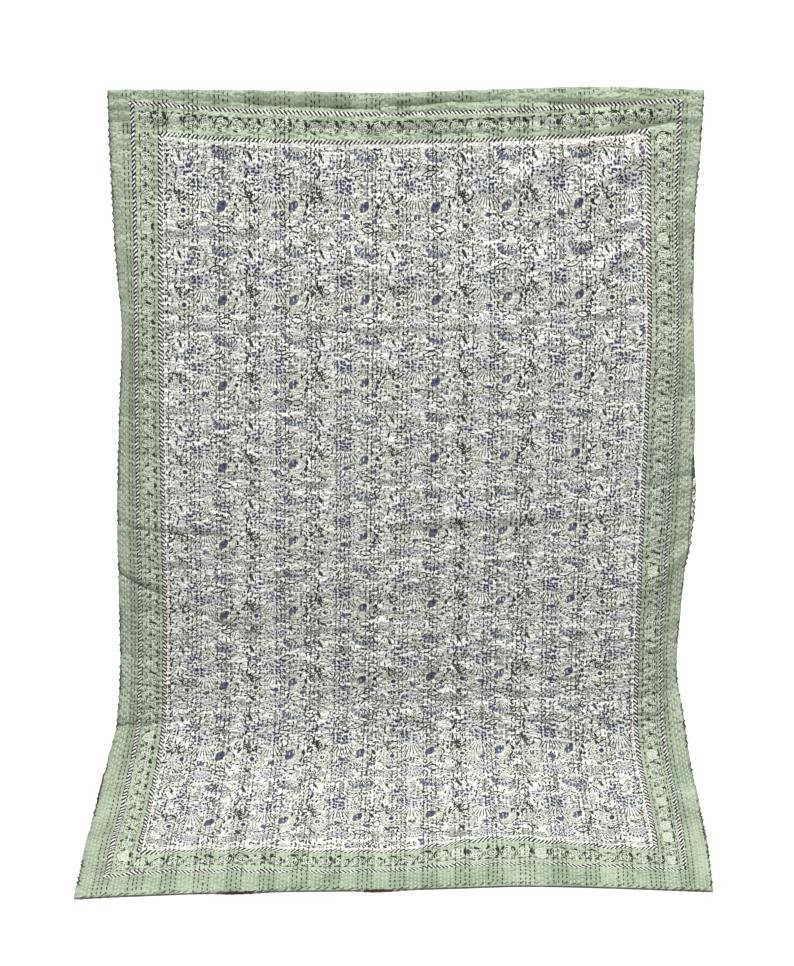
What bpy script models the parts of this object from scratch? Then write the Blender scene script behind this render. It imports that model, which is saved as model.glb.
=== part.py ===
"""A kantha quilt that hangs by its top edge, with its foot drawn forward over the floor.

Two cloths are stitched together through and through: the printed face and its backing. The top edge
turns back over whatever carries it. The row frame has its origin on that fold, at mid width, with
+X to the viewer's right, -Y towards the viewer and +Z up. All sizes are in metres.

A place on the flat cloth is (across, down): across runs from the left side edge, and down runs from
the top fold along the cloth, so the flap behind the fold has a negative down.
"""

import bmesh
import bpy
import numpy as np

# The cloth as it was cut, and its layers.
WIDTH = 1.524
LENGTH = 2.286
FACE_THICKNESS = 0.0012
BACK_THICKNESS = 0.0012
LAYER_GAP = 0.0006

# The print's frame of borders on the flat cloth.
PANEL_LEFT = 0.134
PANEL_RIGHT = 1.386
ROPE_LEFT = 0.066
ROPE_RIGHT = 1.458

# The fold over the hidden support: how far the path goes for a quarter turn.
QUARTER_TURN = 0.007
FLAP_SLOPE = -90.0

# Bands of running stitch draw the cloth into soft channels down its length, shallower on the fold.
FIRST_BAND = 0.0575
BAND_PITCH = 0.0794
CHANNEL_DEPTH = 0.0025
FOLD_CHANNELS = 0.2

# The fold's uneven height fades out by this far down. Relief only rises where the cloth is level.
RISE_FADES_BY = 0.5
LEVEL_SLOPE = 6.0
STEEP_SLOPE = 30.0

# How steeply the middle of the cloth runs down, in degrees below level.
SLOPE_COLUMNS = ("down", "slope")
SLOPE = (
    (0.007, 81.0),
    (0.500, 77.5),
    (1.000, 75.0),
    (1.500, 73.0),
    (1.580, 68.0),
    (1.660, 52.0),
    (1.740, 30.0),
    (1.820, 12.0),
    (1.920, 3.0),
    (2.020, 0.0),
    (2.400, 0.0),
)

# Where six lengthwise lines of the cloth lie from side to side, and how far the side edges curl back.
SECTION_COLUMNS = (
    "down", "left_edge", "left_rope", "left_panel", "right_panel", "right_rope", "right_edge",
    "left_curl", "right_curl",
)
SECTIONS = (
    (0.00, -0.728, -0.668, -0.596, 0.631, 0.712, 0.772, 0.004, 0.004),
    (0.12, -0.729, -0.668, -0.599, 0.635, 0.711, 0.769, 0.010, 0.008),
    (0.28, -0.728, -0.669, -0.603, 0.641, 0.711, 0.764, 0.030, 0.026),
    (0.43, -0.725, -0.671, -0.605, 0.646, 0.718, 0.766, 0.046, 0.042),
    (0.61, -0.716, -0.674, -0.608, 0.651, 0.726, 0.771, 0.066, 0.058),
    (0.80, -0.725, -0.676, -0.610, 0.648, 0.720, 0.778, 0.062, 0.040),
    (1.10, -0.735, -0.677, -0.611, 0.641, 0.709, 0.770, 0.048, 0.036),
    (1.38, -0.735, -0.678, -0.612, 0.634, 0.698, 0.751, 0.040, 0.048),
    (1.54, -0.736, -0.681, -0.615, 0.632, 0.698, 0.746, 0.032, 0.050),
    (1.64, -0.742, -0.684, -0.617, 0.631, 0.699, 0.760, 0.020, 0.020),
    (1.76, -0.757, -0.694, -0.626, 0.637, 0.706, 0.768, 0.004, 0.004),
    (1.90, -0.764, -0.698, -0.632, 0.641, 0.708, 0.770, 0.000, 0.000),
    (2.08, -0.769, -0.702, -0.634, 0.640, 0.704, 0.767, 0.000, 0.000),
    (2.28, -0.764, -0.698, -0.626, 0.626, 0.690, 0.752, 0.000, 0.000),
)

# Along the width: how much cloth is turned over the top, how high the fold lies, and how far the
# hem reaches down the cloth's path.
TOP_AND_HEM_COLUMNS = ("across", "turned_over", "fold_rise", "hem_path")
TOP_AND_HEM = (
    (0.000, 0.038, 0.007, 2.322),
    (0.120, 0.030, 0.008, 2.312),
    (0.300, 0.017, 0.007, 2.300),
    (0.460, 0.012, 0.005, 2.293),
    (0.730, 0.012, 0.000, 2.287),
    (0.900, 0.013, 0.006, 2.278),
    (1.050, 0.015, 0.010, 2.270),
    (1.250, 0.022, 0.015, 2.276),
    (1.400, 0.033, 0.012, 2.285),
    (1.524, 0.038, 0.006, 2.292),
)

# Broad uneven swells of the cloth: (across, down, half width, half length, how far forward).
SWELLS = (
    (0.25, 0.30, 0.20, 0.17, 0.008),
    (0.70, 0.22, 0.24, 0.15, -0.007),
    (1.08, 0.38, 0.17, 0.19, 0.007),
    (0.46, 0.66, 0.21, 0.17, -0.006),
    (0.93, 0.72, 0.24, 0.16, 0.008),
    (1.33, 0.78, 0.14, 0.22, -0.008),
    (0.20, 0.98, 0.16, 0.24, 0.009),
    (0.62, 1.15, 0.22, 0.18, 0.007),
    (1.08, 1.24, 0.20, 0.17, -0.008),
    (0.33, 1.42, 0.20, 0.16, -0.010),
    (0.84, 1.46, 0.24, 0.14, 0.009),
    (1.32, 1.44, 0.14, 0.16, 0.007),
    (0.10, 1.86, 0.14, 0.14, 0.008),
    (0.52, 1.83, 0.18, 0.12, 0.006),
    (1.00, 1.80, 0.22, 0.12, 0.007),
    (1.43, 1.90, 0.12, 0.16, 0.009),
    (0.30, 2.12, 0.20, 0.10, 0.005),
    (0.78, 2.10, 0.18, 0.11, 0.004),
    (1.22, 2.14, 0.18, 0.10, 0.005),
)

# Creases and ridges, end to end: (across, down, to across, to down, half width, how far forward).
CREASES = {
    "upper_ridge": (0.15, 0.592, 1.02, 0.580, 0.016, 0.006),
    "middle_ridge": (0.72, 1.104, 1.15, 1.080, 0.015, 0.008),
    "band_ridge": (1.20, 0.080, 1.35, 0.056, 0.014, 0.006),
    "corner_pocket": (1.32, 0.105, 1.41, 0.085, 0.020, -0.009),
    "long_crumple": (1.15, 0.370, 1.33, 0.190, 0.026, 0.012),
    "short_crumple": (1.21, 0.490, 1.31, 0.415, 0.020, 0.008),
    "crumple_valley": (1.08, 0.300, 1.24, 0.160, 0.024, -0.008),
    "right_tuck": (1.41, 1.008, 1.54, 0.992, 0.015, -0.008),
    "right_slant": (1.41, 1.285, 1.54, 1.180, 0.017, 0.010),
    "right_knee": (1.36, 1.585, 1.54, 1.560, 0.018, -0.009),
    "left_knee": (-0.02, 1.662, 0.20, 1.632, 0.017, -0.010),
    "left_bend": (-0.02, 1.735, 0.12, 1.700, 0.017, 0.007),
    "long_knee": (0.12, 1.640, 1.42, 1.605, 0.024, 0.007),
}

# The rows of the grid down the cloth, closer together at the folds: (from down, to down, rows).
STRETCHES = {
    "border": (0.007, 0.100, 3),
    "crumple": (0.148, 0.500, 7),
    "upper_ridge": (0.562, 0.610, 3),
    "upper_half": (0.680, 1.030, 5),
    "middle_ridge": (1.070, 1.120, 3),
    "lower_half": (1.190, 1.520, 5),
    "knee": (1.575, 1.780, 7),
    "floor": (1.840, LENGTH, 6),
}
FOLD_ROWS = (-1.0, -0.5, 0.0, 0.5)

COLLECTION = "kantha_quilt"
FACE_COLOUR = (0.62, 0.66, 0.60, 1.0)
BACK_COLOUR = (0.56, 0.50, 0.47, 1.0)
CLOTH_ROUGHNESS = 0.9

# The path down the cloth is summed in small steps, from above the flap's end to past the hem.
PATH_STEP = 0.001
PATH_FROM = -0.06
PATH_TO = 2.42


def column(table, columns, name):
    """One named column of a table, as an array."""
    return np.array([row[columns.index(name)] for row in table])


def eased(x, stations, values):
    """A smooth curve through values at the stations, read at x. Values may hold one row a station."""
    slopes = np.gradient(values, stations, axis=0)
    i = np.clip(np.searchsorted(stations, x, side="right") - 1, 0, len(stations) - 2)
    step = stations[i + 1] - stations[i]
    u = np.clip((x - stations[i]) / step, 0.0, 1.0)
    extra = (1,) * (values.ndim - 1)
    u, step = u.reshape(u.shape + extra), step.reshape(step.shape + extra)
    start = (1 + 2 * u) * (1 - u) ** 2 * values[i] + u * (1 - u) ** 2 * step * slopes[i]
    end = u**2 * (3 - 2 * u) * values[i + 1] + u**2 * (u - 1) * step * slopes[i + 1]
    return start + end


def from_table(x, table, columns, station, name):
    return eased(x, column(table, columns, station), column(table, columns, name))


def slope_at(down):
    """Degrees below level, looking down the path: it climbs the flap, turns over and runs down."""
    turn = np.clip(down / QUARTER_TURN, -1.0, 1.0)
    front = from_table(np.maximum(down, QUARTER_TURN), SLOPE, SLOPE_COLUMNS, "down", "slope")
    return np.where(down < 0.0, -turn * FLAP_SLOPE, turn * front)


def middle_path(down):
    """Where the middle of the cloth lies: y and z for each distance down from the fold."""
    steps = np.arange(PATH_FROM, PATH_TO, PATH_STEP)
    slope = np.radians(slope_at(steps + PATH_STEP / 2))
    y = np.concatenate([[0.0], np.cumsum(-np.cos(slope) * PATH_STEP)])[:-1]
    z = np.concatenate([[0.0], np.cumsum(-np.sin(slope) * PATH_STEP)])[:-1]
    y, z = y - np.interp(0.0, steps, y), z - np.interp(0.0, steps, z)
    return np.interp(down, steps, y), np.interp(down, steps, z)


def side_place(across, down):
    """Where a point lies from side to side, between the six lines that SECTIONS gives."""
    stations = np.array([0.0, ROPE_LEFT, PANEL_LEFT, PANEL_RIGHT, ROPE_RIGHT, WIDTH])
    downs = column(SECTIONS, SECTION_COLUMNS, "down")
    names = SECTION_COLUMNS[1:7]
    lines = np.stack([column(SECTIONS, SECTION_COLUMNS, n) for n in names], axis=1)
    here = eased(np.clip(down, 0.0, None), downs, lines)
    i = np.clip(np.searchsorted(stations, across, side="right") - 1, 0, len(stations) - 2)
    u = (across - stations[i]) / (stations[i + 1] - stations[i])
    rows = np.arange(len(across))
    return here[rows, i] * (1 - u) + here[rows, i + 1] * u


def curl_back(across, down):
    """How far a border lies behind the panel's surface: nothing at the panel, most at the edge."""
    left = from_table(down, SECTIONS, SECTION_COLUMNS, "down", "left_curl")
    right = from_table(down, SECTIONS, SECTION_COLUMNS, "down", "right_curl")
    out_left = np.clip((PANEL_LEFT - across) / PANEL_LEFT, 0.0, 1.0)
    out_right = np.clip((across - PANEL_RIGHT) / (WIDTH - PANEL_RIGHT), 0.0, 1.0)
    return left * out_left**2 + right * out_right**2


def channels(across):
    """Soft channels down the cloth: high in each band of dark stitches, low between bands."""
    turns = (across - FIRST_BAND) / BAND_PITCH
    return CHANNEL_DEPTH * np.cos(2 * np.pi * turns)


def swells(across, down):
    total = np.zeros_like(across)
    for at, along, half_width, half_length, rise in SWELLS:
        far = ((across - at) / half_width) ** 2 + ((down - along) / half_length) ** 2
        total += rise * np.exp(-far)
    return total


def creases(across, down):
    """Each crease is a soft ridge or trough about a line, fading out at both of its ends."""
    total = np.zeros_like(across)
    for x0, d0, x1, d1, half_width, rise in CREASES.values():
        run = np.array([x1 - x0, d1 - d0])
        length = np.hypot(*run)
        along = ((across - x0) * run[0] + (down - d0) * run[1]) / length**2
        aside = ((across - x0) * run[1] - (down - d0) * run[0]) / length
        past_end = np.maximum(np.maximum(-along, along - 1.0), 0.0) * length
        total += rise * np.exp(-((aside / half_width) ** 2) - (past_end / (2 * half_width)) ** 2)
    return total


def relief(across, down, slope):
    """How far the cloth stands forward of its plain path. On the floor it only rises."""
    total = channels(across) + swells(across, down) + creases(across, down)
    on_floor = np.clip((STEEP_SLOPE - slope) / (STEEP_SLOPE - LEVEL_SLOPE), 0.0, 1.0)
    total = total * (1 - on_floor) + (np.maximum(total, 0.0) + CHANNEL_DEPTH / 2) * on_floor
    return np.where(down < QUARTER_TURN, channels(across) * FOLD_CHANNELS, total)


def hanging(across, down):
    """Places of the quilt's middle surface in the row frame, one for each (across, down)."""
    y, z = middle_path(down)
    slope = slope_at(down)
    y = y + curl_back(across, np.clip(down, 0.0, None))
    forward = relief(across, down, slope)
    angle = np.radians(slope)
    rise = from_table(across, TOP_AND_HEM, TOP_AND_HEM_COLUMNS, "across", "fold_rise")
    z = z + rise * np.clip(1.0 - down / RISE_FADES_BY, 0.0, 1.0) ** 2
    x = side_place(across, down)
    return np.stack([x, y - forward * np.sin(angle), z + forward * np.cos(angle)], axis=-1)


def cage_columns():
    """Columns at each side edge, on each stitched band's middle and between bands."""
    halves = np.arange(-1, 2 * WIDTH / BAND_PITCH) * BAND_PITCH / 2 + FIRST_BAND
    return np.concatenate([[0.0], halves[halves < WIDTH - BAND_PITCH / 4], [WIDTH]])


def cage_rows():
    """Distances down the front for the middle of the cloth, without the flap and the fold."""
    return np.concatenate([np.linspace(*stretch) for stretch in STRETCHES.values()])


def cage():
    """The flat places (across, down) of the grid's points, row by row from the flap to the hem."""
    across = cage_columns()
    flap = from_table(across, TOP_AND_HEM, TOP_AND_HEM_COLUMNS, "across", "turned_over")
    hem = from_table(across, TOP_AND_HEM, TOP_AND_HEM_COLUMNS, "across", "hem_path")
    rows = [-flap]
    rows += [np.full_like(across, share * QUARTER_TURN) for share in FOLD_ROWS]
    front = cage_rows()
    share = (front - front[0]) / (front[-1] - front[0])
    rows += [QUARTER_TURN + u * (hem - QUARTER_TURN) for u in share]
    down = np.stack(rows)
    return np.broadcast_to(across, down.shape), down


def surface_normals(points):
    """The unit normal at each grid point, on the printed side."""
    over = np.gradient(points, axis=1)
    along = np.gradient(points, axis=0)
    normals = np.cross(along, over)
    return normals / np.linalg.norm(normals, axis=-1, keepdims=True)


def cloth_material(name, colour):
    material = bpy.data.materials.new(name)
    material.use_nodes = True
    shader = material.node_tree.nodes["Principled BSDF"]
    shader.inputs["Base Color"].default_value = colour
    shader.inputs["Roughness"].default_value = CLOTH_ROUGHNESS
    shader.inputs["Metallic"].default_value = 0.0
    return material


def cloth_sheet(name, points, thickness, side, colour):
    """A closed sheet on a grid of points: Solidify thickens it on its own side of them."""
    rows, columns = points.shape[:2]
    bm = bmesh.new()
    bmesh.ops.create_grid(bm, x_segments=columns - 1, y_segments=rows - 1, size=1.0)
    bm.verts.ensure_lookup_table()
    for vertex, place in zip(bm.verts, points.reshape(-1, 3), strict=True):
        vertex.co = place
    bmesh.ops.reverse_faces(bm, faces=bm.faces)
    mesh = bpy.data.meshes.new(name)
    bm.to_mesh(mesh)
    bm.free()
    mesh.materials.append(cloth_material(name, colour))
    mesh.shade_smooth()
    sheet = bpy.data.objects.new(name, mesh)
    solidify = sheet.modifiers.new("Thickness", "SOLIDIFY")
    solidify.thickness = thickness
    solidify.offset = side
    solidify.use_rim = True
    return sheet


def build():
    for old in list(bpy.data.objects):
        bpy.data.objects.remove(old, do_unlink=True)
    parts = bpy.data.collections.new(COLLECTION)
    bpy.context.scene.collection.children.link(parts)
    across, down = cage()
    points = hanging(across.ravel(), down.ravel()).reshape(*across.shape, 3)
    outwards = surface_normals(points) * LAYER_GAP / 2
    parts.objects.link(
        cloth_sheet("face_cloth", points + outwards, FACE_THICKNESS, 1.0, FACE_COLOUR)
    )
    parts.objects.link(
        cloth_sheet("back_cloth", points - outwards, BACK_THICKNESS, -1.0, BACK_COLOUR)
    )


build()
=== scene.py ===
"""How a hanging kantha quilt looks: printed face, backing, running stitches and whipped edges.

The quilt hangs by its turned top edge and its foot lies forward on the floor. A place on the flat
cloth is (across, down) in metres: across from the left side edge, down from the top fold along the
cloth, so the flap behind the fold has a negative down.
"""

import math
from functools import partialmethod

import bmesh
import bpy
import numpy as np
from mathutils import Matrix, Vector


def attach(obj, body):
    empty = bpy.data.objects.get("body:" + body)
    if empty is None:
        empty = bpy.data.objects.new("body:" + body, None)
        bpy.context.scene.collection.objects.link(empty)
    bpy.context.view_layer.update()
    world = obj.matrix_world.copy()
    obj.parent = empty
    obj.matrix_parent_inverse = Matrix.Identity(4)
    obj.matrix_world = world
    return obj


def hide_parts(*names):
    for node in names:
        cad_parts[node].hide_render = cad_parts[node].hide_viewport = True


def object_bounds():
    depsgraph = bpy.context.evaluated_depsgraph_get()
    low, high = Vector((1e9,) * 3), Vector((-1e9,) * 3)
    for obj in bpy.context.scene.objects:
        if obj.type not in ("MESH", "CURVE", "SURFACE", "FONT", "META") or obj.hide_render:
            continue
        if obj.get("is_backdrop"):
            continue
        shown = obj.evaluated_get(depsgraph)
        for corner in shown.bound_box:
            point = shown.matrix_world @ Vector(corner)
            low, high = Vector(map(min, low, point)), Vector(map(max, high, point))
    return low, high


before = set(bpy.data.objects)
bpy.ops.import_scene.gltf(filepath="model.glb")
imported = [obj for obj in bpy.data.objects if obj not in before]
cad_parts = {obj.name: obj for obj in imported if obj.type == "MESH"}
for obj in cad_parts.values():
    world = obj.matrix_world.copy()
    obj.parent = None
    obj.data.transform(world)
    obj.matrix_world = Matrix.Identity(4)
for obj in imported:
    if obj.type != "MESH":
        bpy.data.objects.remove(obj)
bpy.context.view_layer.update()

# ---------------------------------------------------------------- tables and curves


def table(names, *rows):
    """Columns of numbers by name. The first one holds the stations of a curve through the others."""
    return dict(zip(names.split(), np.array(rows).T))


def eased(x, stations, values):
    """A smooth curve through values at the stations, read at x. Values may hold one row a station."""
    slopes = np.gradient(values, stations, axis=0)
    i = np.clip(np.searchsorted(stations, x, side="right") - 1, 0, len(stations) - 2)
    step = stations[i + 1] - stations[i]
    u = np.clip((x - stations[i]) / step, 0.0, 1.0)
    extra = (1,) * (values.ndim - 1)
    u, step = u.reshape(u.shape + extra), step.reshape(step.shape + extra)
    start = (1 + 2 * u) * (1 - u) ** 2 * values[i] + u * (1 - u) ** 2 * step * slopes[i]
    end = u**2 * (3 - 2 * u) * values[i + 1] + u**2 * (u - 1) * step * slopes[i + 1]
    return start + end


def read(curves, name, x):
    """One column of a table, as a smooth curve read at x."""
    return eased(x, next(iter(curves.values())), curves[name])


# ---------------------------------------------------------------- the cloth's shape, as in the CAD

# Two things aren't the CAD's: the fine creases, and the bands' places, whose pitch is 1.3 mm less.
WIDTH = 1.524
LENGTH = 2.286
PANEL_LEFT = 0.134
PANEL_RIGHT = 1.386
ROPE_LEFT = 0.066
ROPE_RIGHT = 1.458
QUARTER_TURN = 0.007
FLAP_SLOPE = -90.0
FIRST_BAND = 0.0570
BAND_PITCH = 0.0781
CHANNEL_DEPTH = 0.0025
FOLD_CHANNELS = 0.2
RISE_FADES_BY = 0.5
LEVEL_SLOPE = 6.0
STEEP_SLOPE = 30.0
PATH_STEP = 0.001
PATH_FROM = -0.06
PATH_TO = 2.42

# How steeply the middle of the cloth runs down, in degrees below level.
SLOPE = table(
    "down slope",
    (0.007, 81.0),
    (0.500, 77.5),
    (1.000, 75.0),
    (1.500, 73.0),
    (1.580, 68.0),
    (1.660, 52.0),
    (1.740, 30.0),
    (1.820, 12.0),
    (1.920, 3.0),
    (2.020, 0.0),
    (2.400, 0.0),
)

# Where six lengthwise lines of the cloth lie from side to side, and how far the side edges curl back.
SECTIONS = table(
    "down left_edge left_rope left_panel right_panel right_rope right_edge left_curl right_curl",
    (0.00, -0.728, -0.668, -0.596, 0.631, 0.712, 0.772, 0.004, 0.004),
    (0.12, -0.729, -0.668, -0.599, 0.635, 0.711, 0.769, 0.010, 0.008),
    (0.28, -0.728, -0.669, -0.603, 0.641, 0.711, 0.764, 0.030, 0.026),
    (0.43, -0.725, -0.671, -0.605, 0.646, 0.718, 0.766, 0.046, 0.042),
    (0.61, -0.716, -0.674, -0.608, 0.651, 0.726, 0.771, 0.066, 0.058),
    (0.80, -0.725, -0.676, -0.610, 0.648, 0.720, 0.778, 0.062, 0.040),
    (1.10, -0.735, -0.677, -0.611, 0.641, 0.709, 0.770, 0.048, 0.036),
    (1.38, -0.735, -0.678, -0.612, 0.634, 0.698, 0.751, 0.040, 0.048),
    (1.54, -0.736, -0.681, -0.615, 0.632, 0.698, 0.746, 0.032, 0.050),
    (1.64, -0.742, -0.684, -0.617, 0.631, 0.699, 0.760, 0.020, 0.020),
    (1.76, -0.757, -0.694, -0.626, 0.637, 0.706, 0.768, 0.004, 0.004),
    (1.90, -0.764, -0.698, -0.632, 0.641, 0.708, 0.770, 0.000, 0.000),
    (2.08, -0.769, -0.702, -0.634, 0.640, 0.704, 0.767, 0.000, 0.000),
    (2.28, -0.764, -0.698, -0.626, 0.626, 0.690, 0.752, 0.000, 0.000),
)

# Along the width: how much cloth is turned over the top, how high the fold lies, and how far the
# hem reaches down the cloth's path.
TOP_AND_HEM = table(
    "across turned_over fold_rise hem_path",
    (0.000, 0.038, 0.007, 2.322),
    (0.120, 0.030, 0.008, 2.312),
    (0.300, 0.017, 0.007, 2.300),
    (0.460, 0.012, 0.005, 2.293),
    (0.730, 0.012, 0.000, 2.287),
    (0.900, 0.013, 0.006, 2.278),
    (1.050, 0.015, 0.010, 2.270),
    (1.250, 0.022, 0.015, 2.276),
    (1.400, 0.033, 0.012, 2.285),
    (1.524, 0.038, 0.006, 2.292),
)

# Broad uneven swells of the cloth: (across, down, half width, half length, how far forward).
SWELLS = (
    (0.25, 0.30, 0.20, 0.17, 0.008),
    (0.70, 0.22, 0.24, 0.15, -0.007),
    (1.08, 0.38, 0.17, 0.19, 0.007),
    (0.46, 0.66, 0.21, 0.17, -0.006),
    (0.93, 0.72, 0.24, 0.16, 0.008),
    (1.33, 0.78, 0.14, 0.22, -0.008),
    (0.20, 0.98, 0.16, 0.24, 0.009),
    (0.62, 1.15, 0.22, 0.18, 0.007),
    (1.08, 1.24, 0.20, 0.17, -0.008),
    (0.33, 1.42, 0.20, 0.16, -0.010),
    (0.84, 1.46, 0.24, 0.14, 0.009),
    (1.32, 1.44, 0.14, 0.16, 0.007),
    (0.10, 1.86, 0.14, 0.14, 0.008),
    (0.52, 1.83, 0.18, 0.12, 0.006),
    (1.00, 1.80, 0.22, 0.12, 0.007),
    (1.43, 1.90, 0.12, 0.16, 0.009),
    (0.30, 2.12, 0.20, 0.10, 0.005),
    (0.78, 2.10, 0.18, 0.11, 0.004),
    (1.22, 2.14, 0.18, 0.10, 0.005),
)

# Creases and ridges, end to end: (across, down, to across, to down, half width, how far forward).
CREASES = {
    "upper_ridge": (0.15, 0.592, 1.02, 0.580, 0.016, 0.006),
    "middle_ridge": (0.72, 1.104, 1.15, 1.080, 0.015, 0.008),
    "band_ridge": (1.20, 0.080, 1.35, 0.056, 0.014, 0.006),
    "corner_pocket": (1.32, 0.105, 1.41, 0.085, 0.020, -0.009),
    "long_crumple": (1.15, 0.370, 1.33, 0.190, 0.026, 0.012),
    "short_crumple": (1.21, 0.490, 1.31, 0.415, 0.020, 0.008),
    "crumple_valley": (1.08, 0.300, 1.24, 0.160, 0.024, -0.008),
    "right_tuck": (1.41, 1.008, 1.54, 0.992, 0.015, -0.008),
    "right_slant": (1.41, 1.285, 1.54, 1.180, 0.017, 0.010),
    "right_knee": (1.36, 1.585, 1.54, 1.560, 0.018, -0.009),
    "left_knee": (-0.02, 1.662, 0.20, 1.632, 0.017, -0.010),
    "left_bend": (-0.02, 1.735, 0.12, 1.700, 0.017, 0.007),
    "long_knee": (0.12, 1.640, 1.42, 1.605, 0.024, 0.007),
}

# Sharper creases on top of those, in the same columns.
FINE_CREASES = {
    "upper_left_line": (0.14, 0.604, 0.56, 0.598, 0.007, -0.0050),
    "upper_middle_line": (0.50, 0.598, 1.04, 0.584, 0.006, 0.0050),
    "upper_right_line": (1.04, 0.572, 1.38, 0.556, 0.007, 0.0055),
    "middle_line": (0.78, 1.092, 1.16, 1.066, 0.007, 0.0070),
    "left_line": (-0.02, 1.118, 0.30, 1.136, 0.006, -0.0065),
    "left_sweep": (-0.02, 1.248, 0.07, 1.272, 0.006, -0.0075),
    "left_sweep_down": (0.07, 1.272, 0.34, 1.402, 0.007, -0.0060),
    "knee_line": (0.44, 1.606, 0.86, 1.598, 0.006, -0.0035),
    "knee_right_line": (0.96, 1.584, 1.14, 1.572, 0.007, -0.0040),
    "knee_left_line": (0.02, 1.650, 0.22, 1.628, 0.007, -0.0040),
    "crumple_crest": (1.14, 0.310, 1.35, 0.160, 0.015, 0.0150),
    "crumple_foot": (1.02, 0.240, 1.24, 0.135, 0.013, 0.0100),
    "crumple_fork": (1.20, 0.385, 1.35, 0.320, 0.012, 0.0100),
    "crumple_low": (1.14, 0.525, 1.34, 0.385, 0.012, 0.0090),
    "crumple_side": (1.30, 0.185, 1.41, 0.115, 0.010, -0.0080),
    "corner_line": (1.17, 0.105, 1.36, 0.088, 0.006, 0.0045),
    "corner_shade": (1.31, 0.108, 1.43, 0.078, 0.013, -0.0100),
    "right_slant_line": (1.39, 1.278, 1.54, 1.165, 0.009, 0.0085),
    "top_sag_left": (0.10, 0.020, 0.62, 0.036, 0.007, -0.0060),
    "top_sag_middle": (0.58, 0.044, 1.00, 0.020, 0.007, -0.0060),
    "top_sag_right": (0.90, 0.034, 1.36, 0.036, 0.007, -0.0060),
}

# ---------------------------------------------------------------- the print's layout on the cloth

# The print's flower columns: the first one's middle, and how far apart they are.
FIRST_COLUMN = 0.243
COLUMN_PITCH = 0.1825

# How far down the cloth each row of flower heads lies, at three of the columns.
PRINT_ROW_ACROSS = (0.243, 0.800, 1.338)
PRINT_ROWS = table(
    "left middle right",
    (0.231, 0.237, 0.224),
    (0.474, 0.476, 0.455),
    (0.699, 0.691, 0.669),
    (0.914, 0.889, 0.871),
    (1.121, 1.090, 1.068),
    (1.312, 1.277, 1.262),
    (1.504, 1.472, 1.454),
    (1.684, 1.672, 1.652),
    (1.933, 1.897, 1.897),
)

# The frame of borders: depths from the cloth's edge of the middles of the two rope lines.
OUTER_ROPE = 0.066
INNER_ROPE = 0.136
# The hem's borders are wider: depths of the same two lines from the hem, along the width.
HEM_BORDER = table(
    "across outer_rope inner_rope",
    (0.00, 0.082, 0.168),
    (0.30, 0.082, 0.174),
    (0.60, 0.076, 0.166),
    (0.80, 0.080, 0.168),
    (0.92, 0.086, 0.194),
    (1.05, 0.090, 0.197),
    (1.20, 0.083, 0.174),
    (1.524, 0.084, 0.176),
)
ROSETTES_PER_ROW = 5.67
ROSETTE_PITCH = 0.0402
ROSETTE_PHASE = 0.152
HEM_ROSETTE_PHASE = 0.122

# ---------------------------------------------------------------- threads

LINE_PITCH = 0.0108
LINES_PER_GROUP = 4
STITCH_PITCH = 0.0150
STITCH_LENGTH = 0.0098
STITCH_HALF_WIDTH = 0.0015
STITCH_HEIGHT = 0.0011
# Stitches vary in length, by these shares, and in place, and each line drifts a little.
STITCH_SHARES = (0.80, 1.15)
STITCH_SLIP = 0.0012
STITCH_STRAY = 0.0003
LINE_DRIFT = 0.0016
DRIFT_PITCH = 0.3
# How far the running lines stay clear of the sides, the top's turned end and the hem.
SIDE_CLEAR = 0.006
TOP_CLEAR = 0.006
HEM_CLEAR = 0.004

WHIP_PITCH = 0.0195
WHIP_HALF_WIDTH = 0.0012
WHIP_ENDS = 0.020
WHIP_SLIP = 0.004
WHIP_REACH = (0.7, 1.1)
WHIP_SLANT = (0.8, 1.3)
# A whip stitch's way round the edge, from the back to the face.
WHIP_PATH = table(
    "inward onward lift",
    (0.0045, -0.0040, -0.0016),
    (0.0005, -0.0010, -0.0018),
    (-0.0011, 0.0005, -0.0007),
    (-0.0011, 0.0010, 0.0007),
    (0.0005, 0.0030, 0.0018),
    (0.0064, 0.0100, 0.0016),
)

# The stitched pieces: name, dark thread or light, printed side (1) or behind (-1), seed.
THREADS = (
    ("dark_stitches", True, 1, 21),
    ("light_stitches", False, 1, 22),
    ("dark_stitches_behind", True, -1, 23),
    ("light_stitches_behind", False, -1, 24),
)
WHIP_SEED = 25

# ---------------------------------------------------------------- layers of the visual model

FACE_LIFT = 0.0013
BACK_LIFT = -0.0013
LAYER_THICKNESS = 0.0008
NORMAL_REACH = 0.003
# The whip stitches press the edges to this share of the quilt's thickness, over that width.
EDGE_PRESS = 0.35
EDGE_PRESS_WIDTH = 0.015
# Each sheet's columns and rows. So many rows run round the fold, and the flap behind it has rows
# at those shares of its length.
FACE_GRID = (250, 388)
BACK_GRID = (200, 388)
FOLD_ROWS = 11
FLAP_ROWS = (0.0, 0.33, 0.67)

# Wrinkles: (half wave across, half wave down, height, seed).
WRINKLES = (
    (0.240, 0.110, 0.0048, 11),
    (0.075, 0.030, 0.0040, 12),
    (0.042, 0.015, 0.0027, 13),
)
# The top border sags in flatter wrinkles, about a line that far down and up to that far from it.
TOP_SAG = (0.150, 0.013, 0.0070, 14)
TOP_SAG_DOWN = 0.040
TOP_SAG_ENDS = 0.110
# The relief fades in over this much cloth past the fold, and out before the hem.
FOLD_CALM = 0.018
HEM_CALM = 0.030


def slope_at(down):
    """Degrees below level, looking down the path: it climbs the flap, turns over and runs down."""
    turn = np.clip(down / QUARTER_TURN, -1.0, 1.0)
    front = read(SLOPE, "slope", np.maximum(down, QUARTER_TURN))
    return np.where(down < 0.0, -turn * FLAP_SLOPE, turn * front)


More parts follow.
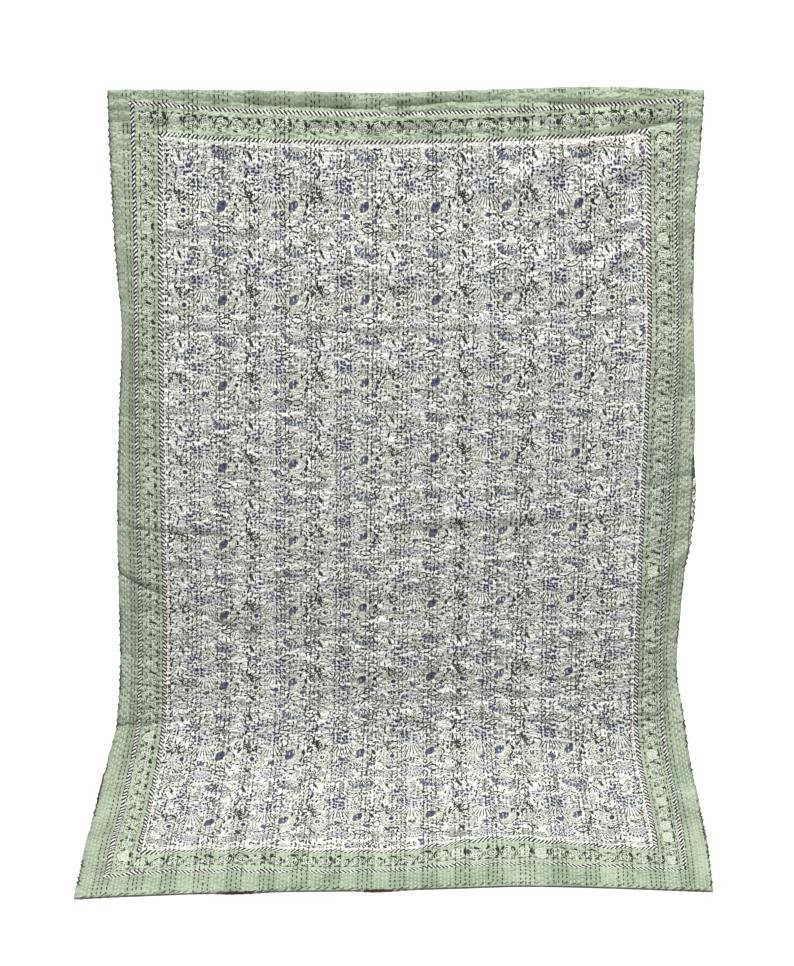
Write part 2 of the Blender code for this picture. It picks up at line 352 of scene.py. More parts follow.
def middle_path(down):
    """Where the middle of the cloth lies: y and z for each distance down from the fold."""
    steps = np.arange(PATH_FROM, PATH_TO, PATH_STEP)
    slope = np.radians(slope_at(steps + PATH_STEP / 2))
    y = np.concatenate([[0.0], np.cumsum(-np.cos(slope) * PATH_STEP)])[:-1]
    z = np.concatenate([[0.0], np.cumsum(-np.sin(slope) * PATH_STEP)])[:-1]
    y, z = y - np.interp(0.0, steps, y), z - np.interp(0.0, steps, z)
    return np.interp(down, steps, y), np.interp(down, steps, z)


def side_place(across, down):
    """Where a point lies from side to side, between the six lines that SECTIONS gives."""
    stations = np.array([0.0, ROPE_LEFT, PANEL_LEFT, PANEL_RIGHT, ROPE_RIGHT, WIDTH])
    downs, *lines = list(SECTIONS.values())[:7]
    here = eased(np.clip(down, 0.0, None), downs, np.stack(lines, axis=1))
    i = np.clip(np.searchsorted(stations, across, side="right") - 1, 0, len(stations) - 2)
    u = (across - stations[i]) / (stations[i + 1] - stations[i])
    rows = np.arange(len(across))
    return here[rows, i] * (1 - u) + here[rows, i + 1] * u


def curl_back(across, down):
    """How far a border lies behind the panel's surface: nothing at the panel, most at the edge."""
    left = read(SECTIONS, "left_curl", down)
    right = read(SECTIONS, "right_curl", down)
    out_left = np.clip((PANEL_LEFT - across) / PANEL_LEFT, 0.0, 1.0)
    out_right = np.clip((across - PANEL_RIGHT) / (WIDTH - PANEL_RIGHT), 0.0, 1.0)
    return left * out_left**2 + right * out_right**2


def channels(across):
    """Soft channels down the cloth: high in each band of dark stitches, low between bands."""
    turns = (across - FIRST_BAND) / BAND_PITCH
    return CHANNEL_DEPTH * np.cos(2 * np.pi * turns)


def swells(across, down):
    total = np.zeros_like(across)
    for at, along, half_width, half_length, rise in SWELLS:
        far = ((across - at) / half_width) ** 2 + ((down - along) / half_length) ** 2
        total += rise * np.exp(-far)
    return total


def creases(across, down, table):
    """Each crease is a soft ridge or trough about a line, fading out at both of its ends."""
    total = np.zeros_like(across)
    for x0, d0, x1, d1, half_width, rise in table.values():
        run = np.array([x1 - x0, d1 - d0])
        length = np.hypot(*run)
        along = ((across - x0) * run[0] + (down - d0) * run[1]) / length**2
        aside = ((across - x0) * run[1] - (down - d0) * run[0]) / length
        past_end = np.maximum(np.maximum(-along, along - 1.0), 0.0) * length
        total += rise * np.exp(-((aside / half_width) ** 2) - (past_end / (2 * half_width)) ** 2)
    return total


def lattice_noise(across, down, half_across, half_down, seed):
    """Smooth random heights from -1 to 1 on a lattice with cells of that size."""
    x, y = across / half_across + 50.0, down / half_down + 50.0
    i, j = np.floor(x).astype(int), np.floor(y).astype(int)
    u, v = x - i, y - j
    u, v = u * u * (3 - 2 * u), v * v * (3 - 2 * v)
    heights = np.random.default_rng(seed).uniform(-1, 1, (i.max() + 2, j.max() + 2))
    top = heights[i, j] * (1 - u) + heights[i + 1, j] * u
    low = heights[i, j + 1] * (1 - u) + heights[i + 1, j + 1] * u
    return top * (1 - v) + low * v


def wrinkles(across, down):
    """Uneven wrinkles that run across the cloth, as running stitches pull it up along its length."""
    total = np.zeros_like(across)
    for half_across, half_down, height, seed in WRINKLES:
        total += height * lattice_noise(across, down, half_across, half_down, seed)
    half_across, half_down, height, seed = TOP_SAG
    near_top = np.clip(1.0 - np.abs(down - TOP_SAG_DOWN) / TOP_SAG_ENDS, 0.0, 1.0)
    total += near_top * height * lattice_noise(across, down, half_across, half_down, seed)
    return total


def relief(across, down, slope):
    """How far the cloth stands forward of its plain path. On the floor it only rises, up to the hem."""
    total = channels(across) + swells(across, down) + creases(across, down, CREASES)
    total += creases(across, down, FINE_CREASES) + wrinkles(across, down)
    on_floor = np.clip((STEEP_SLOPE - slope) / (STEEP_SLOPE - LEVEL_SLOPE), 0.0, 1.0)
    before_hem = np.clip((hem_down(across) - down) / HEM_CALM, 0.0, 1.0)
    rise = (np.maximum(total, 0.0) + CHANNEL_DEPTH / 2) * before_hem
    total = total * (1 - on_floor) + rise * on_floor
    past_fold = np.clip((down - QUARTER_TURN) / FOLD_CALM, 0.0, 1.0)
    return total * past_fold + channels(across) * FOLD_CHANNELS * (1 - past_fold)


def hanging(across, down):
    """Places of the quilt's middle surface in the row frame, one for each (across, down)."""
    y, z = middle_path(down)
    slope = slope_at(down)
    y = y + curl_back(across, np.clip(down, 0.0, None))
    forward = relief(across, down, slope)
    angle = np.radians(slope)
    rise = read(TOP_AND_HEM, "fold_rise", across)
    z = z + rise * np.clip(1.0 - down / RISE_FADES_BY, 0.0, 1.0) ** 2
    x = side_place(across, down)
    return np.stack([x, y - forward * np.sin(angle), z + forward * np.cos(angle)], axis=-1)


def normals(across, down):
    """The unit normal on the printed side at each place."""
    right = hanging(across + NORMAL_REACH, down) - hanging(across - NORMAL_REACH, down)
    along = hanging(across, down + NORMAL_REACH) - hanging(across, down - NORMAL_REACH)
    facing = np.cross(along, right)
    return facing / np.linalg.norm(facing, axis=-1, keepdims=True)


def top_turned(across):
    return read(TOP_AND_HEM, "turned_over", across)


def hem_down(across):
    return read(TOP_AND_HEM, "hem_path", across)


def pressed(across, down):
    """The share of its full thickness that the quilt has: 1, and less along its sides and hem."""
    inwards = np.minimum(np.minimum(across, WIDTH - across), hem_down(across) - down)
    inside = np.clip(inwards / EDGE_PRESS_WIDTH, 0.0, 1.0)
    return EDGE_PRESS + (1.0 - EDGE_PRESS) * inside


def lifted(across, down, lift):
    """Places off the middle surface by lift, less at the edges, towards the printed side."""
    flat_across, flat_down = np.ravel(across), np.ravel(down)
    off = np.reshape(lift, (-1, 1)) * pressed(flat_across, flat_down)[:, None]
    points = hanging(flat_across, flat_down) + normals(flat_across, flat_down) * off
    return points.reshape(*np.shape(across), 3)


# ---------------------------------------------------------------- where the print lies on the cloth

PRINT_UNITS = (7.0, 8.75)
HEAD_AT = (2.95, 3.30)
LAST_ROW_PITCH = 0.296


def print_row(across, down):
    """How many rows down the print a place is: a whole number on each row of flower heads."""
    stations = []
    for heads in PRINT_ROWS.values():
        heads = np.concatenate([[2 * heads[0] - heads[1]], heads, [heads[-1] + LAST_ROW_PITCH]])
        stations.append(eased(down, heads, np.arange(-1.0, len(heads) - 1)))
    left, middle, right = stations
    places = np.array(PRINT_ROW_ACROSS)
    to_middle = np.clip((across - places[0]) / (places[1] - places[0]), 0.0, 1.0)
    to_right = np.clip((across - places[1]) / (places[2] - places[1]), 0.0, 1.0)
    return left * (1 - to_middle) + (middle * (1 - to_right) + right * to_right) * to_middle


def print_place(across, down):
    """Places in the printing block's own units, of which one flower repeat has PRINT_UNITS."""
    x = (across - FIRST_COLUMN) / COLUMN_PITCH * PRINT_UNITS[0] + HEAD_AT[0]
    y = print_row(across, down) * PRINT_UNITS[1] + HEAD_AT[1]
    return np.stack([x, y], axis=-1)


def border_depths(across, down):
    """Depths into the cloth from its sides and from its ends, in the sides' measure."""
    depths = [0.0, OUTER_ROPE, INNER_ROPE, WIDTH]
    left = np.interp(across, [0.0, ROPE_LEFT, PANEL_LEFT, WIDTH], depths)
    from_right = [0.0, WIDTH - ROPE_RIGHT, WIDTH - PANEL_RIGHT, WIDTH]
    right = np.interp(WIDTH - across, from_right, depths)
    from_top = down + top_turned(across)
    outer = read(HEM_BORDER, "outer_rope", across)
    inner = read(HEM_BORDER, "inner_rope", across)
    from_hem = hem_down(across) - down
    outer_part = from_hem / outer * OUTER_ROPE
    inner_part = OUTER_ROPE + (from_hem - outer) / (inner - outer) * (INNER_ROPE - OUTER_ROPE)
    from_hem = np.where(from_hem < outer, outer_part, inner_part)
    return np.stack([np.minimum(left, right), np.minimum(from_top, from_hem)], axis=-1)


def rosette_places(across, down):
    """Places along the borders, counted in rosettes: down the sides, and across the ends."""
    down_sides = print_row(across, down) * ROSETTES_PER_ROW
    phase = np.where(down < LENGTH / 2, ROSETTE_PHASE, HEM_ROSETTE_PHASE)
    return np.stack([down_sides, (across - phase) / ROSETTE_PITCH], axis=-1)


# ---------------------------------------------------------------- meshes


def add_object(name, data):
    """A new object in the scene for a mesh, curve, light or camera."""
    made = bpy.data.objects.new(name, data)
    bpy.context.scene.collection.objects.link(made)
    return made


def grid_sheet(name, points, maps, facing_front):
    """An open sheet on a grid of points (rows, columns, 3), with its UV maps given by name."""
    rows, columns = points.shape[:2]
    bm = bmesh.new()
    bmesh.ops.create_grid(bm, x_segments=columns - 1, y_segments=rows - 1, size=1.0)
    if facing_front:
        bmesh.ops.reverse_faces(bm, faces=bm.faces)
    mesh = bpy.data.meshes.new(name)
    bm.to_mesh(mesh)
    bm.free()
    mesh.vertices.foreach_set("co", points.astype(np.float32).ravel())
    corners = np.zeros(len(mesh.loops), dtype=np.int32)
    mesh.loops.foreach_get("vertex_index", corners)
    for map_name, places in maps.items():
        layer = mesh.uv_layers.new(name=map_name)
        layer.data.foreach_set("uv", places.reshape(-1, 2)[corners].astype(np.float32).ravel())
    mesh.shade_smooth()
    mesh.update()
    return add_object(name, mesh)


def sheet_grid(columns, rows, side_peek=None, hem_peek=None):
    """Flat places for a sheet's grid: flap, rounded fold and front. Peeks are how far it sticks out."""
    across = np.linspace(0.0, WIDTH, columns)
    flap, hem = top_turned(across), hem_down(across)
    if hem_peek is not None:
        hem = hem + hem_peek(across)
    fold = np.linspace(-QUARTER_TURN, QUARTER_TURN, FOLD_ROWS)
    down = [-flap + u * (flap - QUARTER_TURN) for u in FLAP_ROWS]
    down += [np.full_like(across, d) for d in fold]
    front = np.linspace(0.0, 1.0, rows - len(down) + 1)[1:]
    down += [QUARTER_TURN + u * (hem - QUARTER_TURN) for u in front]
    down = np.stack(down)
    across = np.broadcast_to(across, down.shape).copy()
    if side_peek is not None:
        left, right = side_peek(down[:, 0])
        spread = np.clip((across / WIDTH - 0.5) * 2, -1, 1)
        across = across + np.maximum(spread, 0) ** PEEK_STEEPNESS * right[:, None]
        across = across - np.maximum(-spread, 0) ** PEEK_STEEPNESS * left[:, None]
    return across, down


def with_lips(grid):
    """The grid with its outermost rows and columns doubled, for a lip that turns under."""
    return np.pad(grid, 1, mode="edge")


def lip_lift(shape, lift, under):
    heights = np.full(shape, lift)
    heights[[0, -1], :] = under
    heights[:, [0, -1]] = under
    return heights


def bake_map(across, down):
    """A flat 0 to 1 map of the whole sheet."""
    u = (across - across.min()) / np.ptp(across)
    v = 1.0 - (down - down.min()) / np.ptp(down)
    return np.stack([u, v], axis=-1)


def face_sheet():
    columns, rows = FACE_GRID
    across, down = sheet_grid(columns, rows)
    across, down = with_lips(across), with_lips(down)
    lift = lip_lift(across.shape, FACE_LIFT, FACE_LIFT - LAYER_THICKNESS)
    points = lifted(across, down, lift)
    flat_across, flat_down = across.ravel(), down.ravel()
    maps = {
        "OFBake": bake_map(across, down),
        "cloth": np.stack([across, down], axis=-1),
        "print": print_place(flat_across, flat_down),
        "border": border_depths(flat_across, flat_down),
        "rosettes": rosette_places(flat_across, flat_down),
    }
    return grid_sheet("quilt_face", points, maps, True)


# Where the backing sticks out past the face: by how much at the sides, and at the hem. The cloth
# near a side moves out with it, less and less inwards.
PEEK_STEEPNESS = 8
SIDE_PEEKS = table(
    "down left right",
    (0.00, 0.0008, 0.0008),
    (0.20, 0.0010, 0.0010),
    (0.96, 0.0014, 0.0014),
    (1.02, 0.0014, 0.0090),
    (1.16, 0.0008, 0.0080),
    (1.24, 0.0008, 0.0012),
    (1.60, 0.0010, 0.0010),
    (1.72, 0.0012, 0.0008),
    (1.80, 0.0040, 0.0008),
    (1.90, 0.0036, 0.0008),
    (1.98, 0.0008, 0.0008),
    (2.32, 0.0006, 0.0006),
)
HEM_PEEKS = table(
    "across hem",
    (0.00, 0.0006),
    (0.32, 0.0008),
    (0.36, 0.0045),
    (0.41, 0.0040),
    (0.45, 0.0008),
    (0.67, 0.0008),
    (0.70, 0.0045),
    (0.74, 0.0040),
    (0.78, 0.0008),
    (1.524, 0.0006),
)


def side_peek(down):
    left = read(SIDE_PEEKS, "left", down)
    return left, read(SIDE_PEEKS, "right", down)


def hem_peek(across):
    return read(HEM_PEEKS, "hem", across)


def back_sheet():
    columns, rows = BACK_GRID
    across, down = sheet_grid(columns, rows, side_peek, hem_peek)
    across, down = with_lips(across), with_lips(down)
    lift = lip_lift(across.shape, BACK_LIFT, BACK_LIFT + LAYER_THICKNESS)
    points = lifted(across, down, lift)
    maps = {"OFBake": bake_map(across, down), "cloth": np.stack([across, down], axis=-1)}
    return grid_sheet("quilt_back", points, maps, False)


# A stitch is a low tent: two ends, two pairs of sides and a ridge. (along, aside, height) in shares.
STITCH_CORNERS = (
    (-0.5, 0.0, 0.0),
    (-0.3, -1.0, 0.0),
    (-0.3, 1.0, 0.0),
    (-0.25, 0.0, 1.0),
    (0.3, -1.0, 0.0),
    (0.3, 1.0, 0.0),
    (0.25, 0.0, 1.0),
    (0.5, 0.0, 0.0),
)
STITCH_FACES = ((0, 1, 3), (0, 3, 2), (1, 4, 6, 3), (3, 6, 5, 2), (4, 7, 6), (6, 7, 5))


def stitch_piece(name, across, down, lengths, side):
    """Many running stitches, down the cloth, as one mesh on the printed side (1) or behind (-1)."""
    corners = np.array(STITCH_CORNERS)
    place_down = down[:, None] + corners[None, :, 0] * lengths[:, None]
    place_across = across[:, None] + corners[None, :, 1] * STITCH_HALF_WIDTH
    base = FACE_LIFT if side > 0 else BACK_LIFT
    lift = base + side * corners[None, :, 2] * STITCH_HEIGHT + np.zeros_like(place_down)
    points = lifted(place_across, place_down, lift)
    order = STITCH_FACES if side < 0 else [face[::-1] for face in STITCH_FACES]
    starts = np.arange(len(across)) * len(corners)
    faces = [tuple(start + np.array(face)) for start in starts for face in order]
    mesh = bpy.data.meshes.new(name)
    mesh.from_pydata(points.reshape(-1, 3), [], faces)
    mesh.shade_smooth()
    return add_object(name, mesh)


def stitch_lines(dark):
    """Across-places of the running lines: bands of dark thread, and light ones between them."""
    middles = np.arange(FIRST_BAND, WIDTH, BAND_PITCH)
    pitch = LINE_PITCH
    if not dark:
        middles = np.concatenate([middles - BAND_PITCH / 2, middles[-1:] + BAND_PITCH / 2])
        pitch = (BAND_PITCH - (LINES_PER_GROUP - 1) * LINE_PITCH) / (LINES_PER_GROUP + 1)
    offsets = (np.arange(LINES_PER_GROUP) - (LINES_PER_GROUP - 1) / 2) * pitch
    lines = (middles[:, None] + offsets[None, :]).ravel()
    return lines[(lines > SIDE_CLEAR) & (lines < WIDTH - SIDE_CLEAR)]


def running_stitches(dark, side, seed):
    """Flat places and lengths of all the stitches of one colour on one side of the quilt."""
    rng = np.random.default_rng(seed)
    all_across, all_down, all_lengths = [], [], []
    for line in stitch_lines(dark):
        start = TOP_CLEAR - float(top_turned(np.array([line]))[0])
        end = float(hem_down(np.array([line]))[0]) - HEM_CLEAR
        down = np.arange(start + rng.uniform(0, STITCH_PITCH), end, STITCH_PITCH)
        if side < 0:
            down = down + STITCH_PITCH / 2
        down = down + rng.uniform(-STITCH_SLIP, STITCH_SLIP, len(down))
        bends = np.arange(start, end + DRIFT_PITCH, DRIFT_PITCH)
        drift = np.interp(down, bends, rng.uniform(-1.0, 1.0, len(bends)))
        stray = rng.uniform(-STITCH_STRAY, STITCH_STRAY, len(down))
        all_across.append(line + LINE_DRIFT * drift + stray)
        all_down.append(np.minimum(down, end))
        all_lengths.append(STITCH_LENGTH * rng.uniform(*STITCH_SHARES, len(down)))
    return np.concatenate(all_across), np.concatenate(all_down), np.concatenate(all_lengths)


def whip_stitches(seed):
    """Oblique stitches over the side and hem edges: each goes round the edge from back to face."""
    rng = np.random.default_rng(seed)
    curve = bpy.data.curves.new("whip_stitches", "CURVE")
    curve.dimensions = "3D"
    curve.bevel_depth = WHIP_HALF_WIDTH
    curve.bevel_resolution = 1
    curve.use_fill_caps = True
    inward, onward, lift = WHIP_PATH.values()
    down_sides = np.arange(WHIP_ENDS, LENGTH - WHIP_ENDS, WHIP_PITCH)
    edges = [(edge, start) for start in down_sides for edge in ("left", "right")]
    edges += [("hem", start) for start in np.arange(WHIP_ENDS, WIDTH - WHIP_ENDS, WHIP_PITCH)]
    for edge, start in edges:
        at = start + rng.uniform(-WHIP_SLIP, WHIP_SLIP)
        reach = inward * rng.uniform(*WHIP_REACH)
        run = at + onward * rng.uniform(*WHIP_SLANT)
        if edge == "hem":
            across, down = run, hem_down(run) + hem_peek(run) - reach
        else:
            left, right = side_peek(run)
            across, down = (reach - left if edge == "left" else WIDTH - reach + right), run
        spline = curve.splines.new("POLY")
        spline.points.add(len(reach) - 1)
        for point, place in zip(spline.points, lifted(across, down, lift)):
            point.co = (*place, 1.0)
    maker = add_object("whip_maker", curve)
    bpy.context.view_layer.update()
    mesh = bpy.data.meshes.new_from_object(maker.evaluated_get(bpy.context.evaluated_depsgraph_get()))
    bpy.data.objects.remove(maker)
    return add_object("whip_stitches", mesh)


# ---------------------------------------------------------------- materials

# Inks and cloths, as linear colours.
GROUND = (0.84, 0.84, 0.80)
GROUND_SHADE = (0.70, 0.705, 0.665)
HAZE = (0.40, 0.43, 0.52)
SLATE = (0.105, 0.118, 0.180)
DARK_SLATE = (0.050, 0.058, 0.108)
DARK_INK = (0.020, 0.026, 0.025)
PALE_INK = (0.190, 0.205, 0.155)
GREEN_INK = (0.028, 0.058, 0.042)
OLIVE_INK = (0.110, 0.120, 0.080)
KHAKI = (0.600, 0.610, 0.450)
SAGE = (0.500, 0.575, 0.435)
SAGE_DEEP = (0.300, 0.370, 0.260)
ROPE_WHITE = (0.80, 0.81, 0.75)
ROSE = (0.700, 0.730, 0.640)
ROSE_INK = (0.024, 0.040, 0.032)
PINK = (0.82, 0.68, 0.61)
# The dark colour of the painted shade on the hanging middle.
PAINTED_SHADE_COLOUR = (0.075, 0.080, 0.075)
BACK_GROUND = (0.72, 0.66, 0.61)
BACK_SHADE = (0.60, 0.53, 0.49)
BACK_RED = (0.140, 0.022, 0.022)
BACK_INK_AND_SHADE = (0.030, 0.026, 0.028)
DARK_THREAD = (0.012, 0.014, 0.016)
LIGHT_THREAD = (0.50, 0.555, 0.45)
THREAD_ROUGHNESS = 0.80
COTTON_ROUGHNESS = 0.92
COTTON_SPECULAR = 0.15
# Painted shade: the cloth's hanging middle is darkened, deepest that far down. The shade is in full
# up to the first distance from there, fades out at the second, and is stronger in the borders.
PAINTED_SHADE_DEEPEST_DOWN = 1.20
PAINTED_SHADE_FULL, PAINTED_SHADE_ENDS = 0.30, 0.85
PAINTED_SHADE_BORDER, PAINTED_SHADE_PANEL = 0.22, 0.12
# The strip of pinkish ground below the top border: how far down it reaches, and its share of pink.
PINK_ACROSS = (1.13, 1.38)
PINK_DEPTH = 0.168
PINK_SHARE = 0.38
# How much of the deep sage is added outside the outer rope.
OUTER_SAGE = 0.35
# Worn and mottled patches: how many a metre.
WORN, MOTTLED = 9.0, 75.0
# The backing's dark rim of painted shade, its red patches at the left side and the hem, its sprigs.
BACK_WORN = 12.0
BACK_EDGE_SHADE_WIDTH = 0.0022
EDGE_SHADE_SHARE = 0.85
RED_SIDE_ACROSS = 0.11
RED_SIDE_DOWN = (1.78, 1.92)
RED_HEM_DOWN = 2.12
RED_HEM_ACROSS = ((0.34, 0.42), (0.68, 0.75))
SPRIGS = 62.0
SPRIG_LENGTHENED = (1.0, 0.6, 0.0)
SPRIG_SIZE = 0.20

# Puckers between the stitches: widths across and down in metres, and their height. The weave's
# height is a share of that.
FACE_PUCKER = (0.0150, 0.0095, 0.0130)
BACK_PUCKER = (0.0150, 0.0095, 0.0100)
WEAVE_PITCH = 0.0011
WEAVE_HEIGHT = 0.02


def plain_surface(name, colour, roughness):
    """A matt surface of one colour, for thread and for the floor."""
    material = bpy.data.materials.new(name)
    material.use_nodes = True
    shader = material.node_tree.nodes["Principled BSDF"]
    shader.inputs["Base Color"].default_value = (*colour, 1.0)
    shader.inputs["Roughness"].default_value = roughness
    return material


class Graph:
    """A material's nodes, added in the order in which they are worked out."""

    def __init__(self, name):
        self.material = bpy.data.materials.new(name)
        self.material.use_nodes = True
        self.tree = self.material.node_tree
        self.shader = self.tree.nodes["Principled BSDF"]

    def add(self, kind, inputs, **settings):
        """A new node. Inputs go by place or by name, as a value or another node's output."""
        node = self.tree.nodes.new(kind)
        for name, value in settings.items():
            setattr(node, name, value)
        pairs = inputs.items() if isinstance(inputs, dict) else enumerate(inputs)
        for key, value in pairs:
            if isinstance(value, bpy.types.NodeSocket):
                self.tree.links.new(value, node.inputs[key])
            else:
                node.inputs[key].default_value = value
        return node

    def math(self, operation, *values):
        return self.add("ShaderNodeMath", values, operation=operation).outputs[0]

    def folded(self, operation, first, *others):
        """The first value joined with each of the others in turn."""
        for other in others:
            first = self.math(operation, first, other)
        return first

    # Numbers. times_plus(value, factor, extra) is value * factor + extra.
    times = partialmethod(folded, "MULTIPLY")
    plus = partialmethod(math, "ADD")
    minus = partialmethod(math, "SUBTRACT")
    times_plus = partialmethod(math, "MULTIPLY_ADD")
    least = partialmethod(folded, "MINIMUM")

    # Masks of 0 and 1. near(value, middle, reach) is 1 within reach of the middle, and
    # without(mask, cleared) is 1 where the mask is 1 and what clears it is 0.
    below = partialmethod(math, "LESS_THAN")
    above = partialmethod(math, "GREATER_THAN")
    near = partialmethod(math, "COMPARE")
    both = partialmethod(folded, "MULTIPLY")
    either = partialmethod(folded, "MAXIMUM")
    without = partialmethod(math, "GREATER_THAN")

    def vector(self, operation, *values):
        return self.add("ShaderNodeVectorMath", values, operation=operation).outputs[0]

    def dot(self, place, direction):
        inputs = (place, direction)
        return self.add("ShaderNodeVectorMath", inputs, operation="DOT_PRODUCT").outputs["Value"]

    def uv(self, name):
        return self.add("ShaderNodeUVMap", (), uv_map=name).outputs[0]

    def parts(self, place):
        node = self.add("ShaderNodeSeparateXYZ", (place,))
        return node.outputs[0], node.outputs[1]

    def join(self, x, y):
        return self.add("ShaderNodeCombineXYZ", (x, y)).outputs[0]

    def faded(self, value, start, end):
        """1 up to the start, falling to 0 at the end."""
        return self.add("ShaderNodeMapRange", (value, start, end, 1.0, 0.0)).outputs[0]

    def mix(self, factor, under, over):
        """One colour over another. Each is a linear colour or another mix."""
        node = self.add("ShaderNodeMix", {0: factor}, data_type="RGBA")
        for socket, colour in ((node.inputs[6], under), (node.inputs[7], over)):
            if isinstance(colour, bpy.types.NodeSocket):
                self.tree.links.new(colour, socket)
            else:
                socket.default_value = (*colour, 1.0)
        return node.outputs[2]

    def choose(self, mask, where_0, where_1):
        """One place or another."""
        node = self.add("ShaderNodeMix", {0: mask, 4: where_0, 5: where_1}, data_type="VECTOR")
        return node.outputs[1]

    def noise(self, place, scale, detail):
        inputs = {"Vector": place, "Scale": scale, "Detail": detail}
        return self.add("ShaderNodeTexNoise", inputs, noise_dimensions="2D").outputs[0]

    def cells(self, place, scale, randomness):
        inputs = {"Vector": place, "Scale": scale, "Randomness": randomness}
        node = self.add("ShaderNodeTexVoronoi", inputs, voronoi_dimensions="2D")
        return node.outputs["Distance"]

    def chance(self, cell):
        """A random number from 0 to 1 for each cell."""
        inputs = {"Vector": cell}
        return self.add("ShaderNodeTexWhiteNoise", inputs, noise_dimensions="2D").outputs["Value"]

    def cloth_shader(self, colour, cloth, pucker):
        """Matt cotton of that colour, with puckers and a fine weave."""
        wide, tall, height = pucker
        puckers = self.noise(self.vector("DIVIDE", cloth, (wide, tall, 1.0)), 1.0, 1.0)
        weave = self.noise(cloth, 1.0 / WEAVE_PITCH, 0.0)
        relief = self.times_plus(weave, WEAVE_HEIGHT, puckers)
        inputs = {"Strength": 1.0, "Distance": height, "Height": relief}
        bump = self.add("ShaderNodeBump", inputs)
        self.tree.links.new(colour, self.shader.inputs["Base Color"])
        self.tree.links.new(bump.outputs[0], self.shader.inputs["Normal"])
        self.shader.inputs["Roughness"].default_value = COTTON_ROUGHNESS
        self.shader.inputs["Specular IOR Level"].default_value = COTTON_SPECULAR

    def wrapped(self, place, low_x, low_y):
        """The block's own units, wrapped to one repeat that starts there. Its z stays 1."""
        high = (low_x + PRINT_UNITS[0], low_y + PRINT_UNITS[1], 3.0)
        return self.vector("WRAP", place, high, (low_x, low_y, -1.0))

    def local(self, place, x, y, half_width, half_height, angle=0.0):
        """Along and aside from (x, y), turned by that many degrees, with the half sizes at 1.

        The place's z is 1, so that one product with a fixed vector also takes the middle away.
        """
        cos, sin = math.cos(math.radians(angle)), math.sin(math.radians(angle))
        along = (cos / half_width, sin / half_width, -(x * cos + y * sin) / half_width)
        aside = (-sin / half_height, cos / half_height, (x * sin - y * cos) / half_height)
        return self.dot(place, along), self.dot(place, aside)

    def oval(self, place, x, y, half_width, half_height, angle):
        """0 in an oval's middle, 1 at its edge, more outside."""
        along, aside = self.local(place, x, y, half_width, half_height, angle)
        return self.times_plus(along, along, self.times(aside, aside))

    def leaf(self, place, x, y, half_length, half_width, angle):
        """0 in a leaf's middle, 1 at its edge, more outside."""
        along, aside = self.local(place, x, y, half_length, half_width, angle)
        return self.times_plus(along, along, self.math("ABSOLUTE", aside))

    def polar(self, x, y):
        """The distance from the middle, and the turn about it from -0.5 to 0.5."""
        turn = self.times(self.math("ARCTAN2", y, x), 0.5 / math.pi)
        square = self.times_plus(x, x, self.times(y, y))
        return self.math("SQRT", square), turn

    def between(self, value, low, high):
        return self.near(value, (low + high) / 2, (high - low) / 2)

    def wavy(self, far, turn, waves, depth):
        """A distance from a middle, with that many waves about it."""
        wave = self.math("COSINE", self.times(turn, 2 * math.pi * waves))
        return self.times_plus(wave, depth, far)

    def stripes(self, value, count, share):
        """1 on that share of each of count stripes a unit."""
        swing = self.math("FRACT", self.times(value, count))
        return self.near(swing, 0.5, share / 2)


# The print's motifs, in the block's units. Each repeat is 7 across and 8.75 down, and one unit is
# about 26 mm on the cloth. Ovals: (x, y, half width, half height, degrees).
OVALS = {
    "eye": (4.84, 5.20, 0.62, 0.42, -52),
    "eye_core": (4.98, 5.00, 0.30, 0.16, -52),
    "bowl": (5.00, 0.15, 1.25, 0.96, 8),
    "bite": (5.24, -0.22, 1.22, 0.88, 10),
    "head": (2.95, 3.30, 1.20, 0.86, 0),
    "cup": (1.10, 1.52, 1.14, 1.00, 0),
    "hollow": (0.78, 0.92, 0.66, 0.80, -8),
    "fan": (3.05, 7.58, 1.20, 0.66, 0),
    "low_bud": (3.02, 6.02, 0.36, 0.22, 0),
    "side_bud": (5.85, 6.50, 0.26, 0.20, 20),
    "berries": (5.15, 3.15, 0.85, 1.05, 24),
}
# Middles that lines run round: (x, y, and the two half sizes that count as 1).
MIDDLES = {
    "bowl": (5.05, -0.35, 1.25, 1.25),
    "fan": (3.05, 7.00, 1.25, 1.15),
    "spray": (2.95, 3.45, 1.00, 1.00),
    "star": (0.55, 4.15, 0.46, 0.46),
}
# The round flowers: (middle, petals, veins, and where the veins start).
ROUND_FLOWERS = (
    ((4.88, 5.25, 1.18, 1.14), 9, 17.0, 0.55),
    ((1.08, 5.60, 1.22, 1.20), 11, 19.0, 0.60),
)
PETAL_WAVE = 0.06
# Leaves: (x, y, half length, half width, degrees).
OUTLINED_LEAVES = (
    (4.25, 2.10, 0.80, 0.30, -14),
    (5.15, 7.25, 0.68, 0.34, 6),
    (5.78, 7.75, 0.42, 0.16, 100),
    (2.15, 6.55, 0.50, 0.13, -24),
    (3.50, 6.48, 0.50, 0.13, 22),
    (3.95, 7.95, 0.42, 0.12, -42),
    (2.75, 1.85, 0.66, 0.16, -34),
    (1.35, 3.10, 0.62, 0.15, -32),
    (6.55, 3.05, 0.70, 0.11, 96),
)
SOLID_LEAVES = (
    (5.62, 4.45, 0.28, 0.11, 96),
    (6.20, 5.10, 0.32, 0.16, 80),
    (6.00, 5.80, 0.28, 0.11, -62),
    (1.20, 4.60, 0.36, 0.10, -30),
    (0.30, 2.40, 0.44, 0.10, 100),
    (0.15, 3.60, 0.50, 0.10, 94),
)
GREEN_LEAVES = (
    (0.62, 0.75, 0.62, 0.16, 64),
    (0.72, 4.75, 0.34, 0.17, 58),
    (0.75, 7.02, 0.32, 0.17, 40),
    (6.70, 4.60, 0.36, 0.15, -50),
    (6.10, 0.60, 0.30, 0.12, 70),
)
